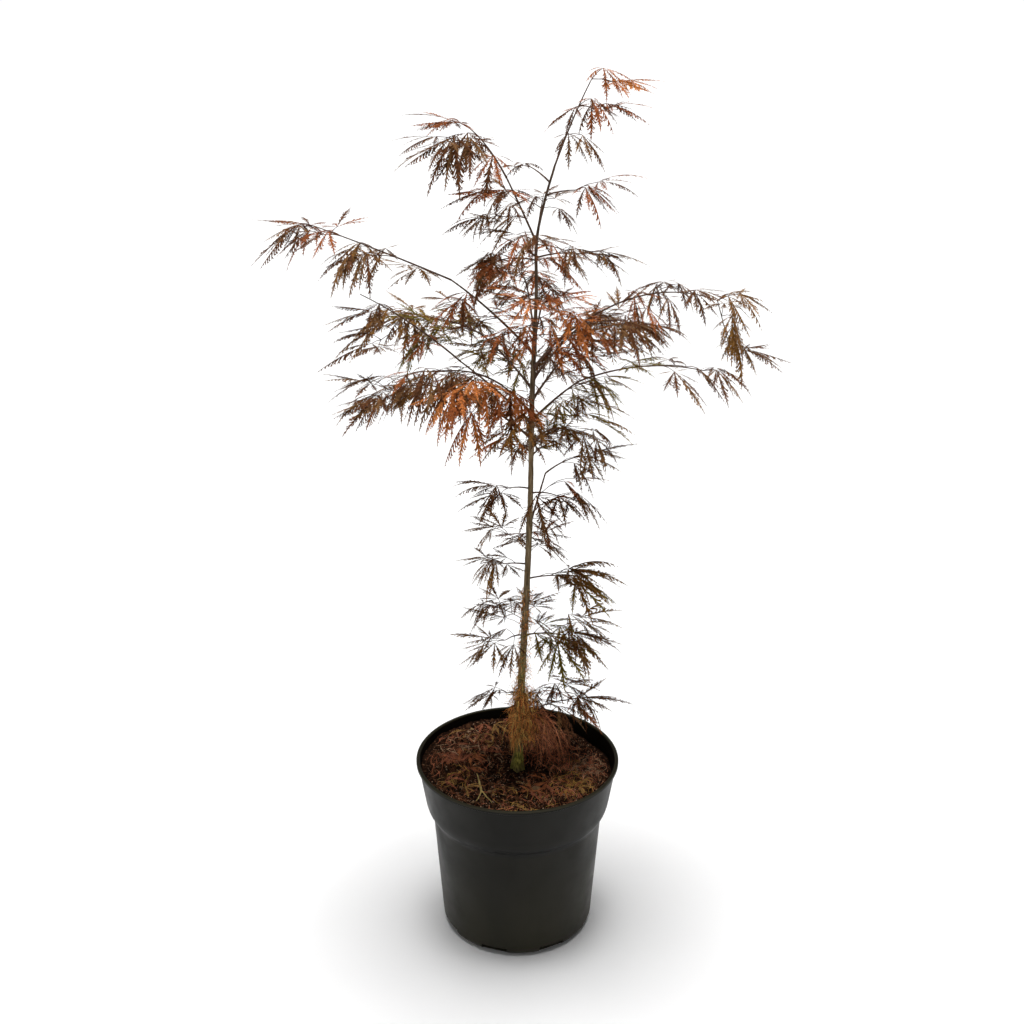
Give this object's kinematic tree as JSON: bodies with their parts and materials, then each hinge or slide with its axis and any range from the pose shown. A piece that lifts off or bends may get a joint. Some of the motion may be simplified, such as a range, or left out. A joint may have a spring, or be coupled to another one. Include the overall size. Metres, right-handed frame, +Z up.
{
  "type": "potted japanese maple",
  "caption": "Young laceleaf maple with a slender leaning trunk, bowed boughs and tiers of drooping, finely cut autumn leaves, growing in a round black nursery pot filled with compost.",
  "frame": {"origin": "centre of the pot's flat underside", "axes": "+Z up along the plant, -Y towards the front, +X to the right when seen from the front"},
  "size_m": [0.4526, 0.282, 0.7869],
  "materials": {
    "pot": "matte black-charcoal moulded plastic with a faint sheen",
    "soil": "crumbly dark brown compost with fallen leaf shreds",
    "bark": "fine-grained grey-brown bark, mossy green at the foot",
    "twig": "smooth purplish-brown young bark",
    "plum": "matte dark purple-brown leaves",
    "bronze": "matte bronze-brown leaves",
    "olive": "matte olive leaves tinged with brown",
    "russet": "matte reddish-brown leaves",
    "rust": "matte rust-orange autumn leaves",
    "straw": "dry tan leaf strands"
  },
  "bodies": {
    "root": {"pot": "pot", "soil": "soil", "trunk": "bark", "back_bough": "twig", "back_left_bough": "twig", "back_right_bough": "twig", "front_bough": "twig", "front_left_bough": "twig", "front_right_bough": "twig", "left_lower_bough": "twig", "left_middle_bough": "twig", "left_upper_bough": "twig", "right_lower_bough": "twig", "right_middle_bough": "twig", "right_upper_bough": "twig", "side_shoot": "twig", "top_left_shoot": "twig", "leader_tip_foliage": "russet", "leader_side_foliage": "plum", "leader_back_foliage": "plum", "top_left_foliage": "plum", "top_right_foliage": "plum", "top_low_foliage": "plum", "top_back_foliage": "plum", "top_front_foliage": "plum", "left_upper_foliage": "bronze", "left_middle_foliage": "plum", "left_lower_foliage": "bronze", "front_left_foliage": "rust", "front_foliage": "rust", "front_right_foliage": "rust", "right_upper_foliage": "russet", "right_middle_foliage": "olive", "right_lower_foliage": "bronze", "back_right_foliage": "plum", "back_foliage": "bronze", "back_left_foliage": "plum", "inner_left_foliage": "olive", "inner_right_foliage": "olive", "middle_right_foliage": "plum", "middle_left_foliage": "plum", "middle_low_foliage": "plum", "middle_back_foliage": "bronze", "lower_left_foliage": "plum", "lower_right_foliage": "olive", "lower_back_foliage": "bronze", "low_left_foliage": "plum", "low_right_foliage": "olive", "low_back_foliage": "bronze", "foot_left_foliage": "bronze", "foot_right_foliage": "bronze", "foot_front_foliage": "straw"}
  },
  "joints": []
}
